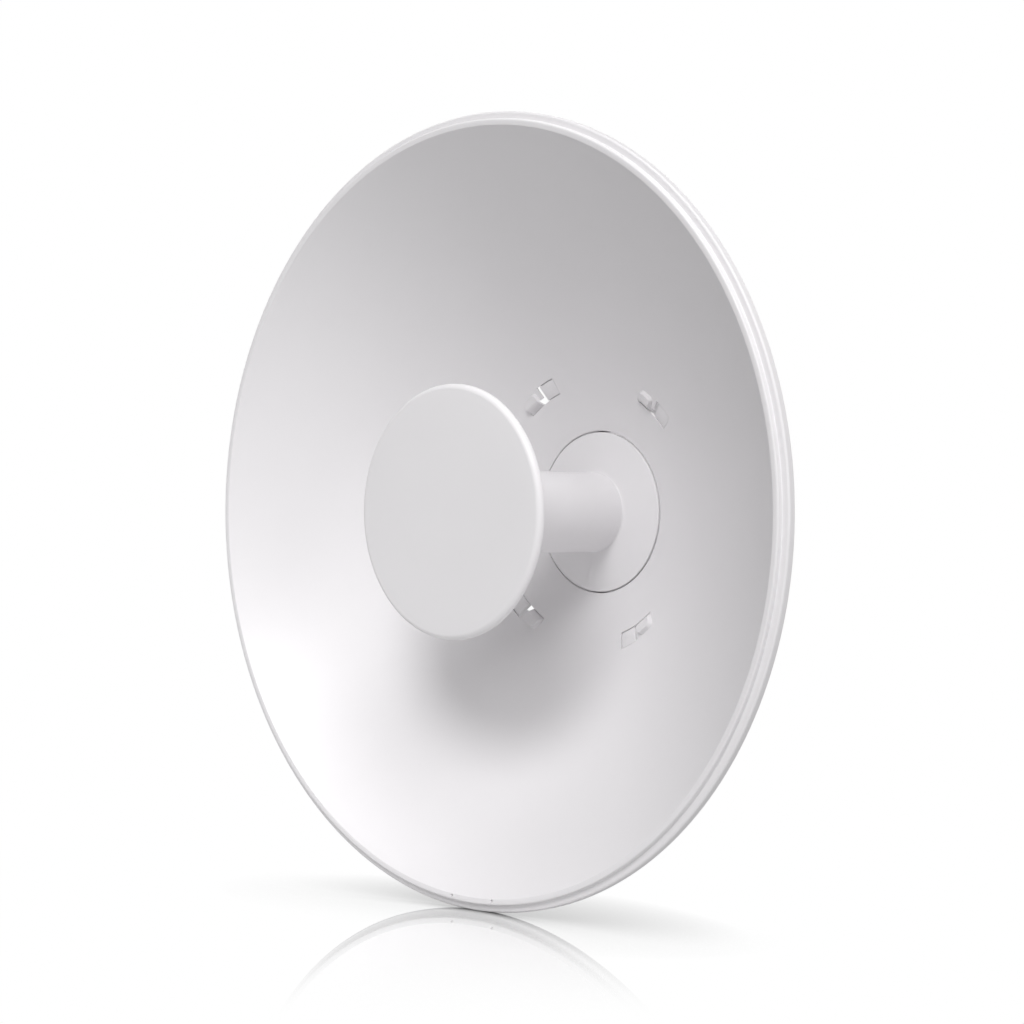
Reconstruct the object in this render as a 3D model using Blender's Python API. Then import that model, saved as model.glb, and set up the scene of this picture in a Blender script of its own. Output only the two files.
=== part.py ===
"""Round outdoor dish antenna with a central feed, facing -Y, held by a small bracket behind.

All sizes below are in millimetres on the dish's own axis: r is the distance from the axis, and y
is the depth behind the plane of the front lip. The whole model is then moved so that the origin
is at the middle of the mast plate's rear face.
"""
import math

import bmesh
import bpy
from mathutils import Matrix, Vector

MM = 0.001
GAP = 0.3

# Reflector: a pressed bowl, a flat lip, a step back and a turned edge
RIM_R = 210.0
RIM_ROUND = 1.4
RIM_BACK_Y = 7.6
LIP_IN_R = 202.7
LIP_OUT_R = 205.95
LIP_ROUND = 1.0
STEP_Y = 3.0
STEP_CORNER = 0.5
SHEET = 1.3
HUB_HOLE_R = 44.85
HUB_HOLE_Y = 98.5
DISH_SEGMENTS = 72
BOWL_STEPS = 12

# Feed: base disc in the hub hole, tube, and the round cap over the tube's end
BASE_R = 44.1
BASE_EDGE_Y = 98.2
BASE_NECK_Y = 93.8
BASE_CONE = 1.3
TUBE_R = 22.0
TUBE_SEGMENTS = 48
CAP_R = 66.9
CAP_FRONT_Y = -17.6
CAP_SEAM_Y = -13.9
CAP_BACK_Y = -12.6
CAP_EDGE_ROUND = 3.0
CAP_LID_INSET = 0.9
CAP_SEGMENTS = 72

# Locking slots around the hub: a window, a notch and a raised pocket, in two opposite pairs
MOUTH_ANGLES = {"lower_left": -131.0, "lower_right": -61.1, "upper_right": 49.0, "upper_left": 118.8}
SLOT_IN_R = 69.6
SLOT_OUT_R = 78.9
SLOT_MIDDLE_R = (SLOT_IN_R + SLOT_OUT_R) / 2.0
SLOT_HALF = (SLOT_OUT_R - SLOT_IN_R) / 2.0
WINDOW_ANGLE = 9.65
NOTCH_LENGTH = 2.5
NOTCH_WIDTH = 3.2
NOTCH_LAP_ANGLE = 0.5
POCKET_LANDING = 2.8
POCKET_LENGTH = 13.4
POCKET_SIDE = 8.8
POCKET_HEIGHT = 2.7
POCKET_DRAFT = 0.6
POCKET_RAMP = 2.9
POCKET_CORNER = 2.6
POCKET_TOP_ROUND = 0.5
POCKET_ROOT = 0.6
POCKET_HUB_WALL = 1.2
POCKET_SPACE_DEPTH = 3.0
CUT_FRONT = -2.0
CUT_BACK = 4.0

# Radio housing behind the bowl, its cover, and the hatch over the cable port
HOUSING_R = 44.3
HOUSING_FRONT_Y = 101.2
HOUSING_BACK_Y = 131.0
COVER_INSET = 0.6
COVER_BACK_Y = 136.5
COVER_ROUND = 2.5
HATCH_HALF_W = 13.0
HATCH_LOW_Z = -36.0
HATCH_HIGH_Z = -14.0
HATCH_BACK_Y = 139.5
HATCH_CORNER = 3.0

# Lock ring behind the bowl, with a flange in front and one arm to each slot's window
RING_IN_R = 46.0
RING_OUT_R = 60.0
RING_FRONT_Y = 107.0
RING_BACK_Y = 139.0
HUB_SEGMENTS = 64
FLANGE_R = 70.0
FLANGE_T = 5.0
ARM_T = 2.0
ARM_FOOT_IN_R = 61.5
ARM_FOOT_OUT_R = 65.5
ARM_ANGLE = 10.4
ARM_LAP = 1.5
ARM_MOUTH_GAP = 1.75
BOSS_CLEARANCE = 0.4
BOSS_RECESS = 0.4

# Tilt bracket: two ears on the ring, two cheeks between them, and the plate that meets the mast
MAST_FACE_Y = 200.0
PLATE_T = 4.0
PLATE_W = 84.0
PLATE_H = 104.0
PLATE_CORNER = 8.0
PLATE_HOLE_R = 4.4
PLATE_HOLE_X = 30.0
PLATE_HOLE_Z = 40.0
EAR_T = 4.0
EAR_X = 36.0
EAR_HALF_H = 44.0
EAR_BACK_Y = 186.0
EAR_CORNER = 10.0
CHEEK_T = 3.0
CHEEK_HALF_H = 30.0
CHEEK_FRONT_Y = 148.0
CHEEK_CORNER = 8.0
SIDES = {"left": -1, "right": 1}

# Two bolts through ears and cheeks, one on the pivot and one that locks the tilt
BOLT_Y = 172.0
BOLT_HEIGHTS = {"pivot": 16.0, "lock": -16.0}
BOLT_R = 4.0
BOLT_SEGMENTS = 24
BOLT_PAST_EAR = 12.0
HEAD_R = 7.5
HEAD_T = 5.5
NUT_T = 6.5
HEX_SIDES = 6
WASHER_R = 9.0
WASHER_T = 1.6
WASHER_SEGMENTS = 32
CUTTER_REACH = 8.0

FOCUS = (LIP_IN_R ** 2 - HUB_HOLE_R ** 2) / (4.0 * HUB_HOLE_Y)
VERTEX_Y = HUB_HOLE_Y + HUB_HOLE_R ** 2 / (4.0 * FOCUS)

WHITE_PAINT = ("white_paint", (0.80, 0.785, 0.80, 1.0), 0.42, 0.0)
WHITE_PLASTIC = ("white_plastic", (0.82, 0.805, 0.82, 1.0), 0.38, 0.0)
GREY_PLASTIC = ("grey_plastic", (0.45, 0.46, 0.47, 1.0), 0.5, 0.0)
ZINC = ("zinc", (0.62, 0.63, 0.64, 1.0), 0.35, 0.9)


def bowl_y(r):
    """Depth of the bowl's front face at radius r."""
    return VERTEX_Y - r * r / (4.0 * FOCUS)


def bowl_slope(r):
    """Angle of the bowl's face from the lip's plane at radius r."""
    return math.atan(r / (2.0 * FOCUS))


def behind(r, distance):
    """A point (r, y) at a distance behind the bowl's front face, square to it."""
    tilt = bowl_slope(r)
    return (r + distance * math.sin(tilt), bowl_y(r) + distance * math.cos(tilt))


def arc(centre, radius, start, end, steps):
    """Points (r, y) on an arc; angles in degrees from +r towards -y."""
    points = []
    for i in range(steps + 1):
        angle = math.radians(start + (end - start) * i / steps)
        points.append((centre[0] + radius * math.cos(angle), centre[1] - radius * math.sin(angle)))
    return points


def clear_scene():
    for old in list(bpy.data.objects):
        bpy.data.objects.remove(old, do_unlink=True)


def material(finish):
    name, colour, roughness, metallic = finish
    made = bpy.data.materials.get(name)
    if made:
        return made
    made = bpy.data.materials.new(name)
    made.use_nodes = True
    shader = made.node_tree.nodes["Principled BSDF"]
    shader.inputs["Base Color"].default_value = colour
    shader.inputs["Roughness"].default_value = roughness
    shader.inputs["Metallic"].default_value = metallic
    return made


def add_object(name, bm, finish, sharp_degrees=30.0):
    """Turn a bmesh in millimetres into a smooth-shaded object in metres on the dish axis."""
    bmesh.ops.recalc_face_normals(bm, faces=bm.faces[:])
    bmesh.ops.scale(bm, vec=(MM, MM, MM), verts=bm.verts[:])
    mesh = bpy.data.meshes.new(name)
    bm.to_mesh(mesh)
    bm.free()
    mesh.shade_smooth()
    mesh.set_sharp_from_angle(angle=math.radians(sharp_degrees))
    obj = bpy.data.objects.new(name, mesh)
    bpy.context.scene.collection.objects.link(obj)
    if finish:
        obj.data.materials.append(material(finish))
    obj.parent = dish_axis
    return obj


def add_cutter(name, bm):
    cutter = add_object(name, bm, None)
    cutter.hide_render = True
    cutter.display_type = "WIRE"
    return cutter


def combine(obj, other, operation):
    modifier = obj.modifiers.new(operation.lower(), "BOOLEAN")
    modifier.operation = operation
    modifier.solver = "EXACT"
    modifier.object = other


def turned(profile, steps):
    """Spin a closed outline of (r, y) points right round the dish axis into a closed solid."""
    bm = bmesh.new()
    verts = [bm.verts.new((r, y, 0.0)) for r, y in profile]
    edges = [bm.edges.new(pair) for pair in zip(verts, verts[1:])]
    edges.append(bm.edges.new((verts[-1], verts[0])))
    bmesh.ops.spin(bm, geom=verts + edges, cent=(0, 0, 0), axis=(0, 1, 0),
                   angle=math.tau, steps=steps, use_merge=True)
    bmesh.ops.remove_doubles(bm, verts=bm.verts[:], dist=0.0001)
    return bm


def sector(profile, start, end, steps):
    """Sweep an outline of (r, y) points from one angle to another around the dish axis."""
    bm = bmesh.new()
    face = bm.faces.new([bm.verts.new((r, y, 0.0)) for r, y in profile])
    bmesh.ops.rotate(bm, cent=(0, 0, 0), matrix=Matrix.Rotation(-math.radians(start), 3, "Y"),
                     verts=bm.verts[:])
    bmesh.ops.spin(bm, geom=[face] + face.edges[:] + face.verts[:], cent=(0, 0, 0), axis=(0, -1, 0),
                   angle=math.radians(end - start), steps=steps, use_merge=False)
    return bm


def block(low, high):
    """A plain box between two corners."""
    bm = bmesh.new()
    size = Vector(high) - Vector(low)
    middle = (Vector(high) + Vector(low)) / 2.0
    bmesh.ops.create_cube(bm, size=1.0)
    bmesh.ops.scale(bm, vec=size, verts=bm.verts[:])
    bmesh.ops.translate(bm, vec=middle, verts=bm.verts[:])
    return bm


def rod(start, end, radius, segments):
    """A round bar along X or Y between two points."""
    bm = bmesh.new()
    run = Vector(end) - Vector(start)
    bmesh.ops.create_cone(bm, cap_ends=True, segments=segments, radius1=radius, radius2=radius,
                          depth=run.length)
    turn = Vector((0, 0, 1)).rotation_difference(run.normalized()).to_matrix()
    bmesh.ops.rotate(bm, cent=(0, 0, 0), matrix=turn, verts=bm.verts[:])
    bmesh.ops.translate(bm, vec=(Vector(start) + Vector(end)) / 2.0, verts=bm.verts[:])
    return bm


def edges_along(bm, axis, wanted=lambda point: True):
    """Edges over 1 mm long on an axis (0, 1, 2 for X, Y, Z) whose two ends are both wanted."""
    return [edge for edge in bm.edges
            if abs(edge.verts[0].co[axis] - edge.verts[1].co[axis]) > 1.0
            and all(wanted(vert.co) for vert in edge.verts)]


def round_edges(bm, edges, width, segments):
    bmesh.ops.bevel(bm, geom=edges, offset=width, segments=segments, profile=0.5,
                    affect="EDGES", material=-1)


def slot_frame(angle):
    """Axes of a slot whose mouth is at an angle: x round the dish, y outward, z out of the bowl."""
    tilt = bowl_slope(SLOT_MIDDLE_R)
    turn = math.radians(angle)
    outward = Vector((math.cos(turn), 0.0, math.sin(turn)))
    front = Vector((0.0, -1.0, 0.0))
    up_slope = outward * math.cos(tilt) + front * math.sin(tilt)
    out_of_bowl = front * math.cos(tilt) - outward * math.sin(tilt)
    along = up_slope.cross(out_of_bowl)
    place = Matrix((along, up_slope, out_of_bowl)).transposed().to_4x4()
    place.translation = outward * SLOT_MIDDLE_R + Vector((0.0, bowl_y(SLOT_MIDDLE_R), 0.0))
    return place


def reflector_profile():
    """Outline of the pressed sheet, front face from the hub hole out, then the back face home."""
    radii = [HUB_HOLE_R + (LIP_IN_R - HUB_HOLE_R) * i / BOWL_STEPS for i in range(BOWL_STEPS + 1)]
    front = [(r, bowl_y(r)) for r in radii]
    front += arc((LIP_OUT_R - LIP_ROUND, LIP_ROUND), LIP_ROUND, 90, 0, 3)
    front += [(LIP_OUT_R, STEP_Y - STEP_CORNER), (LIP_OUT_R + STEP_CORNER, STEP_Y)]
    front += arc((RIM_R - RIM_ROUND, STEP_Y + RIM_ROUND), RIM_ROUND, 90, 0, 3)
    front += [(RIM_R, RIM_BACK_Y)]
    wall_back_r = LIP_OUT_R - SHEET
    back = [(RIM_R - SHEET, RIM_BACK_Y), (RIM_R - SHEET, STEP_Y + SHEET), (wall_back_r, STEP_Y + SHEET),
            (wall_back_r, SHEET)]
    back += [behind(r, SHEET) for r in reversed(radii[:-1])]
    return front + back


def pocket_form(low, high, corner, corner_steps):
    """Box in a slot's frame, its top drawn in: a ramp towards the hub, steep walls on the rest."""
    bm = block(low, high)
    middle_x = (low[0] + high[0]) / 2.0
    for vert in bm.verts:
        if vert.co.z > 0.0:
            vert.co.x += POCKET_DRAFT if vert.co.x < middle_x else -POCKET_DRAFT
            vert.co.y += POCKET_RAMP if vert.co.y < 0.0 else -POCKET_DRAFT
    round_edges(bm, edges_along(bm, 2, lambda point: point.y > 0.0), corner, corner_steps)
    return bm


def pocket_body(place):
    """Raised part of a lock pocket."""
    bm = pocket_form((POCKET_LANDING, -SLOT_HALF, -POCKET_ROOT),
                     (POCKET_LENGTH, POCKET_SIDE - SLOT_HALF, POCKET_HEIGHT), POCKET_CORNER, 5)
    top = [edge for edge in bm.edges if all(vert.co.z > POCKET_HEIGHT - 0.01 for vert in edge.verts)]
    round_edges(bm, top, POCKET_TOP_ROUND, 2)
    bmesh.ops.transform(bm, matrix=place, verts=bm.verts[:])
    return bm


def pocket_space(place):
    """Room under the raised part, open to the back."""
    bm = pocket_form((POCKET_LANDING + SHEET, POCKET_HUB_WALL - SLOT_HALF, -POCKET_SPACE_DEPTH),
                     (POCKET_LENGTH - SHEET, POCKET_SIDE - SLOT_HALF - SHEET, POCKET_HEIGHT - SHEET),
                     POCKET_CORNER - SHEET, 3)
    bmesh.ops.transform(bm, matrix=place, verts=bm.verts[:])
    return bm


def sheet_cut(r_low, r_high, start, end, steps):
    """Cutter that goes right through the bowl's sheet, between two radii and two angles."""
    deep = [behind(r_low, CUT_FRONT), behind(r_high, CUT_FRONT), behind(r_high, CUT_BACK),
            behind(r_low, CUT_BACK)]
    return sector(deep, start, end, steps)


def window_cut(angle):
    """Window through the sheet, clockwise of the mouth as seen from the front."""
    return sheet_cut(SLOT_IN_R, SLOT_OUT_R, angle - WINDOW_ANGLE, angle, 2)


def notch_cut(angle):
    """Notch beside the window, on its hub side, up to the raised part."""
    return sheet_cut(SLOT_IN_R, SLOT_IN_R + NOTCH_WIDTH, angle - NOTCH_LAP_ANGLE,
                     angle + math.degrees(NOTCH_LENGTH / SLOT_IN_R), 1)


def make_reflector():
    dish = add_object("reflector", turned(reflector_profile(), DISH_SEGMENTS), WHITE_PAINT)
    for corner, angle in MOUTH_ANGLES.items():
        place = slot_frame(angle)
        combine(dish, add_cutter("pocket_" + corner, pocket_body(place)), "UNION")
    for corner, angle in MOUTH_ANGLES.items():
        place = slot_frame(angle)
        combine(dish, add_cutter("pocket_space_" + corner, pocket_space(place)), "DIFFERENCE")
        combine(dish, add_cutter("window_" + corner, window_cut(angle)), "DIFFERENCE")
        combine(dish, add_cutter("notch_" + corner, notch_cut(angle)), "DIFFERENCE")


def make_feed_stem():
    cone = [(TUBE_R + (BASE_R - TUBE_R) * t, BASE_NECK_Y + (BASE_EDGE_Y - BASE_NECK_Y) * t ** BASE_CONE)
            for t in (1.0, 0.75, 0.5, 0.25, 0.0)]
    base = [(0.0, BASE_NECK_Y), (0.0, HOUSING_FRONT_Y - GAP), (BASE_R, HOUSING_FRONT_Y - GAP)] + cone
    add_object("feed_base", turned(base, HUB_SEGMENTS), WHITE_PLASTIC)
    tube_end = BASE_NECK_Y - GAP
    tube = [(0.0, CAP_BACK_Y + GAP), (0.0, tube_end), (TUBE_R, tube_end), (TUBE_R, CAP_BACK_Y + GAP)]
    add_object("feed_tube", turned(tube, TUBE_SEGMENTS), WHITE_PLASTIC)


def make_feed_cap():
    front = [(0.0, CAP_FRONT_Y)]
    front += arc((CAP_R - CAP_EDGE_ROUND, CAP_FRONT_Y + CAP_EDGE_ROUND), CAP_EDGE_ROUND, 90, 0, 5)
    front += [(CAP_R, CAP_SEAM_Y), (0.0, CAP_SEAM_Y)]
    add_object("feed_cap", turned(front, CAP_SEGMENTS), WHITE_PLASTIC)
    lid_r = CAP_R - CAP_LID_INSET
    back = [(0.0, CAP_SEAM_Y + GAP), (lid_r, CAP_SEAM_Y + GAP), (lid_r, CAP_BACK_Y), (0.0, CAP_BACK_Y)]
    add_object("feed_cap_back", turned(back, CAP_SEGMENTS), WHITE_PLASTIC)


def make_housing():
    shell = [(0.0, HOUSING_FRONT_Y), (HOUSING_R, HOUSING_FRONT_Y), (HOUSING_R, HOUSING_BACK_Y),
             (0.0, HOUSING_BACK_Y)]
    add_object("radio_housing", turned(shell, HUB_SEGMENTS), WHITE_PLASTIC)
    cover_r = HOUSING_R - COVER_INSET
    cover = [(0.0, HOUSING_BACK_Y + GAP), (cover_r, HOUSING_BACK_Y + GAP)]
    cover += arc((cover_r - COVER_ROUND, COVER_BACK_Y - COVER_ROUND), COVER_ROUND, 0, -90, 3)
    cover += [(0.0, COVER_BACK_Y)]
    add_object("housing_cover", turned(cover, HUB_SEGMENTS), WHITE_PLASTIC)
    hatch = block((-HATCH_HALF_W, COVER_BACK_Y + GAP, HATCH_LOW_Z),
                  (HATCH_HALF_W, HATCH_BACK_Y, HATCH_HIGH_Z))
    round_edges(hatch, edges_along(hatch, 1), HATCH_CORNER, 3)
    add_object("port_hatch", hatch, GREY_PLASTIC)


def arm_plate(start, end):
    """Plate that follows the sheet's back from its foot on the flange to past the window."""
    front = SHEET + GAP
    back = front + ARM_T
    end_r = SLOT_OUT_R + ARM_LAP
    foot_y = RING_FRONT_Y - GAP
    points = [behind(r, front) for r in (end_r, SLOT_MIDDLE_R, SLOT_IN_R, ARM_FOOT_IN_R)]
    points += [(points[-1][0], foot_y), (ARM_FOOT_OUT_R, foot_y)]
    points += [behind(r, back) for r in (ARM_FOOT_OUT_R, SLOT_IN_R, SLOT_MIDDLE_R, end_r)]
    return sector(points, start, end, 3)


def arm_boss(start, end):
    """Raised middle of an arm's plate, nearly flush with the bowl in the slot's window."""
    low_r = SLOT_IN_R + BOSS_CLEARANCE
    high_r = SLOT_OUT_R - BOSS_CLEARANCE
    inside_plate = SHEET + GAP + ARM_T / 2.0
    points = [behind(r, BOSS_RECESS) for r in (low_r, SLOT_MIDDLE_R, high_r)]
    points += [behind(r, inside_plate) for r in (high_r, SLOT_MIDDLE_R, low_r)]
    return sector(points, start, end, 3)


def make_lock_ring():
    step_y = RING_FRONT_Y + FLANGE_T
    ring = [(RING_IN_R, RING_FRONT_Y), (RING_IN_R, RING_BACK_Y), (RING_OUT_R, RING_BACK_Y),
            (RING_OUT_R, step_y), (FLANGE_R, step_y), (FLANGE_R, RING_FRONT_Y)]
    add_object("lock_ring", turned(ring, HUB_SEGMENTS), WHITE_PAINT)
    for corner, angle in MOUTH_ANGLES.items():
        mouth = angle - math.degrees(ARM_MOUTH_GAP / SLOT_IN_R)
        far_end = angle - WINDOW_ANGLE + math.degrees(BOSS_CLEARANCE / SLOT_IN_R)
        arm = add_object("lock_arm_" + corner, arm_plate(mouth - ARM_ANGLE, mouth), WHITE_PAINT)
        combine(arm, add_cutter("arm_boss_" + corner, arm_boss(far_end, mouth)), "UNION")


def make_ear(side, sign):
    x_low, x_high = sorted((sign * EAR_X, sign * (EAR_X + EAR_T)))
    ear = block((x_low, RING_BACK_Y + GAP, -EAR_HALF_H), (x_high, EAR_BACK_Y, EAR_HALF_H))
    middle_y = (RING_BACK_Y + EAR_BACK_Y) / 2.0
    round_edges(ear, edges_along(ear, 0, lambda point: point.y > middle_y), EAR_CORNER, 4)
    return add_object("tilt_ear_" + side, ear, WHITE_PAINT)


def make_cheek(side, sign):
    x_outer = EAR_X - GAP
    x_low, x_high = sorted((sign * x_outer, sign * (x_outer - CHEEK_T)))
    cheek = block((x_low, CHEEK_FRONT_Y, -CHEEK_HALF_H),
                  (x_high, MAST_FACE_Y - PLATE_T - GAP, CHEEK_HALF_H))
    middle_y = (CHEEK_FRONT_Y + MAST_FACE_Y) / 2.0
    round_edges(cheek, edges_along(cheek, 0, lambda point: point.y < middle_y), CHEEK_CORNER, 4)
    return add_object("mast_cheek_" + side, cheek, WHITE_PAINT)


def bolt_rod(x_start, x_end, height, radius, segments):
    """A bar along X at one of the bolts' places."""
    return rod((x_start, BOLT_Y, height), (x_end, BOLT_Y, height), radius, segments)


def bolt_bore(name, x_middle, height):
    """Cutter for a hole that a bolt goes through."""
    bore = bolt_rod(x_middle - CUTTER_REACH, x_middle + CUTTER_REACH, height, BOLT_R + GAP, BOLT_SEGMENTS)
    return add_cutter(name, bore)


def make_ears_and_cheeks():
    for side, sign in SIDES.items():
        ear = make_ear(side, sign)
        cheek = make_cheek(side, sign)
        for label, height in BOLT_HEIGHTS.items():
            bore = bolt_bore("hole_" + label + "_" + side, sign * EAR_X, height)
            combine(ear, bore, "DIFFERENCE")
            combine(cheek, bore, "DIFFERENCE")


def make_mast_plate():
    plate = block((-PLATE_W / 2, MAST_FACE_Y - PLATE_T, -PLATE_H / 2),
                  (PLATE_W / 2, MAST_FACE_Y, PLATE_H / 2))
    round_edges(plate, edges_along(plate, 1), PLATE_CORNER, 4)
    plate = add_object("mast_plate", plate, WHITE_PAINT)
    for x in (-PLATE_HOLE_X, PLATE_HOLE_X):
        for z in (-PLATE_HOLE_Z, PLATE_HOLE_Z):
            hole = rod((x, MAST_FACE_Y - CUTTER_REACH, z), (x, MAST_FACE_Y + CUTTER_REACH, z),
                       PLATE_HOLE_R, BOLT_SEGMENTS)
            combine(plate, add_cutter("plate_hole", hole), "DIFFERENCE")


def make_bolts():
    ear_outside = EAR_X + EAR_T + GAP
    seat = ear_outside + WASHER_T + GAP
    for label, height in BOLT_HEIGHTS.items():
        shank = bolt_rod(-seat, ear_outside + BOLT_PAST_EAR, height, BOLT_R, BOLT_SEGMENTS)
        head = bolt_rod(-seat - HEAD_T, -seat, height, HEAD_R, HEX_SIDES)
        bolt = add_object(label + "_bolt", shank, ZINC)
        combine(bolt, add_cutter(label + "_bolt_head", head), "UNION")
        for side, sign in SIDES.items():
            washer = bolt_rod(sign * ear_outside, sign * (ear_outside + WASHER_T), height, WASHER_R,
                              WASHER_SEGMENTS)
            washer = add_object(label + "_washer_" + side, washer, ZINC)
            bore = bolt_bore(label + "_washer_bore_" + side, sign * ear_outside, height)
            combine(washer, bore, "DIFFERENCE")
        nut = bolt_rod(seat, seat + NUT_T, height, HEAD_R, HEX_SIDES)
        nut = add_object(label + "_nut", nut, ZINC)
        combine(nut, bolt_bore(label + "_nut_bore", seat + NUT_T / 2.0, height), "DIFFERENCE")


clear_scene()
dish_axis = bpy.data.objects.new("dish_axis", None)
dish_axis.location = (0.0, -MAST_FACE_Y * MM, 0.0)
bpy.context.scene.collection.objects.link(dish_axis)
make_reflector()
make_feed_stem()
make_feed_cap()
make_housing()
make_lock_ring()
make_ears_and_cheeks()
make_mast_plate()
make_bolts()
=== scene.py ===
# %% [markdown]
# # Dressing a dish antenna
#
# The imported CAD model is the frame: every piece below is made in the same place as its CAD node.
# The dish looks along -Y, +Y points into the mast, +Z is up, and the origin is the middle of the
# mast plate's rear face.

# %% Load the frame
import math

import bmesh
import bpy
from mathutils import Matrix, Vector


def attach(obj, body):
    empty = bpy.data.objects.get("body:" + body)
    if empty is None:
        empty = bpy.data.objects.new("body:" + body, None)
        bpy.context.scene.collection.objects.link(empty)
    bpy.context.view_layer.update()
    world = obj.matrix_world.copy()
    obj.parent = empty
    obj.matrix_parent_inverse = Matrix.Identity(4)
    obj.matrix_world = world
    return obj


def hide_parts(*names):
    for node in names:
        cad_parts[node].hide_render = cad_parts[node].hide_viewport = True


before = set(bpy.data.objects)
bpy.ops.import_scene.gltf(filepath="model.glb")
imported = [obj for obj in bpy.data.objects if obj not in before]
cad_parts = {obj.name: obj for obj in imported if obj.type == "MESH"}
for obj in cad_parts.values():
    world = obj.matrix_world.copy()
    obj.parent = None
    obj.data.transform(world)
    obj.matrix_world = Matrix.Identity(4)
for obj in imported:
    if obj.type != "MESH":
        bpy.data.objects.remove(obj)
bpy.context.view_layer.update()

# %% [markdown]
# ## Camera
#
# The photograph is taken level with the feed, a little over a metre away, with the dish turned
# about 45 degrees. A lens near 90 mm keeps the round rim close to a true ellipse. The numbers come
# from the four ellipses in the picture: rim, lip, hub ring and feed cap.

# %% Camera
MM = 0.001
MAST_FACE_Y = 200.0
CAMERA_TURN = 44.8
CAMERA_PLACE = (0.960, -1.1366, 0.0)
LENS = 89.65

camera = bpy.data.objects.new("camera", bpy.data.cameras.new("camera"))
camera.data.lens = LENS
camera.data.sensor_width = 36.0
camera.data.sensor_fit = "HORIZONTAL"
camera.location = CAMERA_PLACE
camera.rotation_euler = (math.radians(90.0), 0.0, math.radians(CAMERA_TURN))
bpy.context.scene.collection.objects.link(camera)
bpy.context.scene.camera = camera
print("camera at", tuple(round(v, 3) for v in camera.location))

# %% [markdown]
# ## The bowl's curve
#
# A dish is a paraboloid, because it sends every ray that comes in along its axis to one point, the
# feed. So one focal length gives the whole bowl. Working in millimetres on the dish's own axis
# keeps the numbers those of a workshop drawing: r is the distance from the axis and y is the depth
# behind the front lip.

# %% Bowl curve
LIP_IN_R = 202.7
HUB_HOLE_R = 44.85
HUB_HOLE_Y = 98.5
SHEET = 1.3
FOCUS = (LIP_IN_R ** 2 - HUB_HOLE_R ** 2) / (4.0 * HUB_HOLE_Y)
VERTEX_Y = HUB_HOLE_Y + HUB_HOLE_R ** 2 / (4.0 * FOCUS)


def bowl_y(r):
    return VERTEX_Y - r * r / (4.0 * FOCUS)


def bowl_tilt(r):
    return math.atan(r / (2.0 * FOCUS))


def behind(r, distance):
    """A point behind the bowl's face, square to it."""
    tilt = bowl_tilt(r)
    return (r + distance * math.sin(tilt), bowl_y(r) + distance * math.cos(tilt))


def foot_of(r, y):
    """The radius on the bowl's face that a point lies square behind, and how far behind."""
    foot = r
    distance = 0.0
    for _ in range(4):
        tilt = bowl_tilt(foot)
        distance = (y - bowl_y(foot)) / math.cos(tilt)
        foot = r - distance * math.sin(tilt)
    return foot, distance


print("focal length", round(FOCUS, 1), "mm, depth at the axis", round(VERTEX_Y, 1), "mm")

# %% [markdown]
# ## Bench tools
#
# Nearly every piece here is turned about the dish's axis, so the main tool takes half an outline
# and spins it, like a lathe. Outlines are lists of points, and the round corners in them are arcs.
# The last tool scales a finished bmesh from millimetres to metres, moves it into the frame and
# hands it to the body it rides on.

# %% Arcs and turning
def arc(centre, radius, start, end, steps):
    """Points (r, y) on an arc; angles in degrees from +r towards the front."""
    points = []
    for i in range(steps + 1):
        angle = math.radians(start + (end - start) * i / steps)
        points.append((centre[0] + radius * math.cos(angle), centre[1] - radius * math.sin(angle)))
    return points


def outline(points, closed=True):
    """A bmesh with the points (r, y) joined by edges."""
    bm = bmesh.new()
    verts = [bm.verts.new((r, y, 0.0)) for r, y in points]
    for pair in zip(verts, verts[1:]):
        bm.edges.new(pair)
    if closed:
        bm.edges.new((verts[-1], verts[0]))
    return bm


def turned(points, steps, closed=True):
    """Turn an outline right round the dish's axis."""
    bm = outline(points, closed)
    bmesh.ops.spin(bm, geom=bm.verts[:] + bm.edges[:], cent=(0, 0, 0), axis=(0, 1, 0),
                   angle=math.tau, steps=steps, use_merge=True)
    bmesh.ops.remove_doubles(bm, verts=bm.verts[:], dist=0.0005)
    return bm


# %% From a bmesh to a finished piece
def finished(name, bm, finish, instead_of=(), sharp_degrees=30.0, to_frame=True):
    """Close the work on a piece: metres, place, shading, material, body."""
    if to_frame:
        bmesh.ops.recalc_face_normals(bm, faces=bm.faces[:])
        bmesh.ops.scale(bm, vec=(MM, MM, MM), verts=bm.verts[:])
        bmesh.ops.translate(bm, vec=(0.0, -MAST_FACE_Y * MM, 0.0), verts=bm.verts[:])
    mesh = bpy.data.meshes.new(name)
    bm.to_mesh(mesh)
    bm.free()
    mesh.shade_smooth()
    mesh.set_sharp_from_angle(angle=math.radians(sharp_degrees))
    piece = bpy.data.objects.new(name, mesh)
    bpy.context.scene.collection.objects.link(piece)
    mesh.materials.append(finish)
    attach(piece, "root")
    if instead_of:
        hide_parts(*instead_of)
    print(name, len(mesh.polygons), "faces")
    return piece


# %% [markdown]
# ## Powder coat
#
# The pressed sheet is painted with powder and baked. The coat flows a little before it sets, which
# leaves very low, soft waves about a millimetre or two apart, called orange peel, and a satin
# gloss that isn't quite even. One noise drives the bump, and another moves the roughness and the
# white by a hair. Both read Object coordinates, so the grain stays at its real size.

# %% Powder coat
def new_finish(name, colour, roughness, metallic=0.0):
    finish = bpy.data.materials.new(name)
    finish.use_nodes = True
    shader = finish.node_tree.nodes["Principled BSDF"]
    shader.inputs["Base Color"].default_value = colour
    shader.inputs["Roughness"].default_value = roughness
    shader.inputs["Metallic"].default_value = metallic
    return finish


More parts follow.
